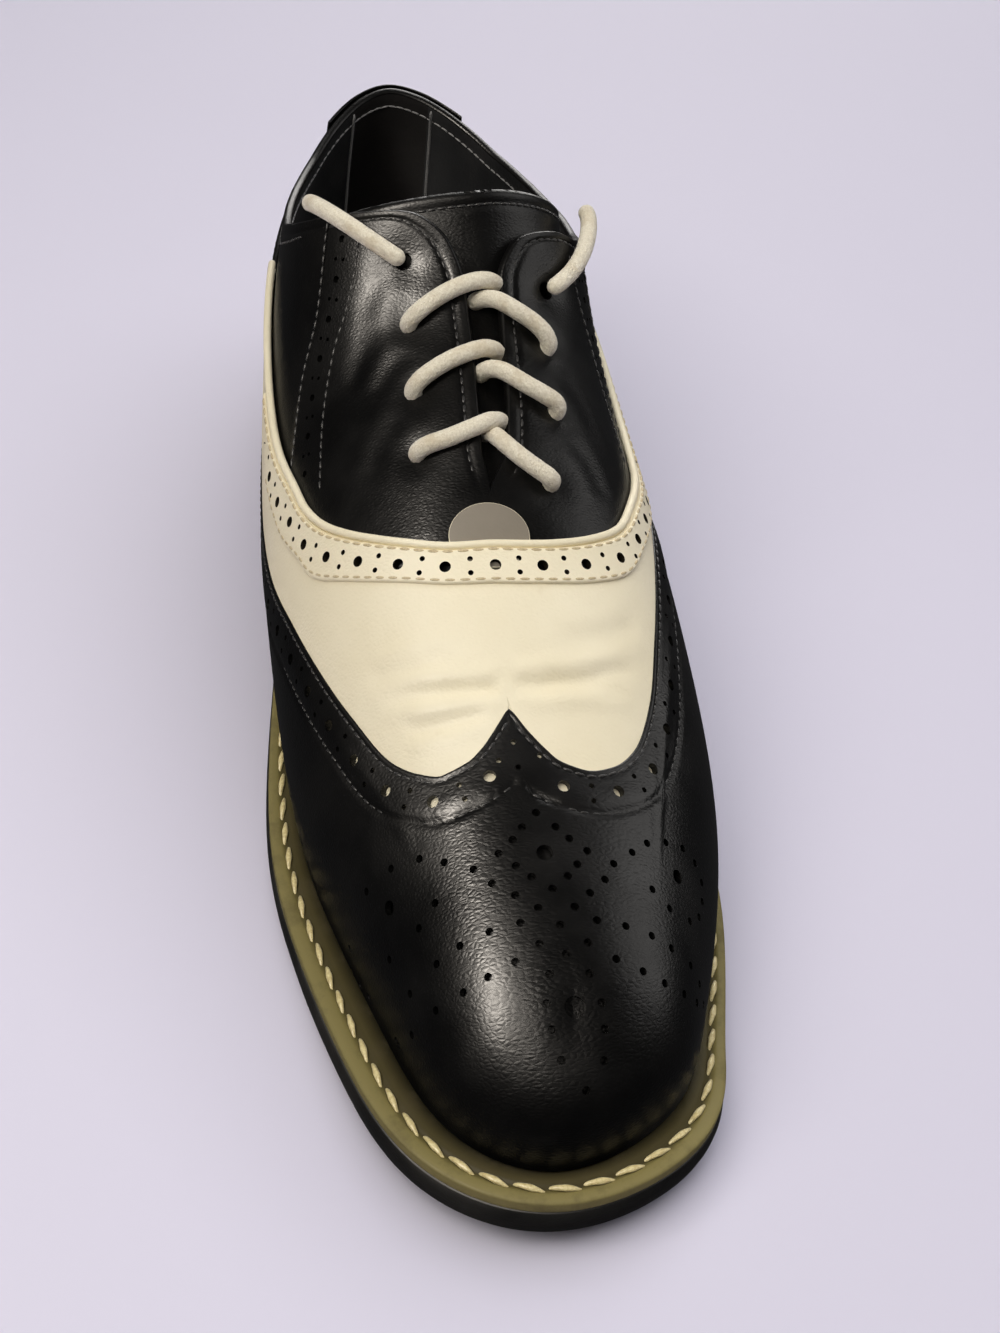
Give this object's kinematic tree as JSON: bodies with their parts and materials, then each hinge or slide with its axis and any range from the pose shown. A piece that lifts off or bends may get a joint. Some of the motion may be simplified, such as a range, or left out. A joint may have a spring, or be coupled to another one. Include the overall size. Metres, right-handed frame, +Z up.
{
  "type": "wingtip oxford shoe",
  "caption": "Right wingtip oxford dress shoe in black and cream leather: hollow upper with brogued wing cap, laced facings, tongue, welted sole and low heel.",
  "frame": {"origin": "on the floor under the middle of the sole's box", "axes": "+Z up from the floor, the toe points to -Y, +X is the medial (inner) side of this right shoe"},
  "size_m": [0.1018, 0.306, 0.1214],
  "materials": {
    "black_leather": "glossy black calf, fine grain, soft flex creases",
    "cream_leather": "smooth cream leather, satin, lightly soiled",
    "tab_leather": "pale grey leather, satin",
    "sole_rubber": "black sole and heel block, satin",
    "welt_leather": "olive welt with a sewn groove, satin",
    "insole_lining": "dark sock lining, matt",
    "lace_cotton": "round braided cotton cord, matt"
  },
  "bodies": {
    "root": {"outsole": "sole_rubber", "heel": "sole_rubber", "welt": "welt_leather", "insole": "insole_lining", "upper": "black_leather", "wing_cap": "black_leather", "heel_counter": "black_leather", "heel_tab": "black_leather", "tongue": "black_leather", "vamp": "cream_leather", "throat_band": "cream_leather", "piping": "cream_leather", "throat_tab": "tab_leather", "lace_row_1": "lace_cotton", "lace_row_2": "lace_cotton", "lace_row_3": "lace_cotton", "lace_end_lateral": "lace_cotton", "lace_end_medial": "lace_cotton"}
  },
  "joints": []
}
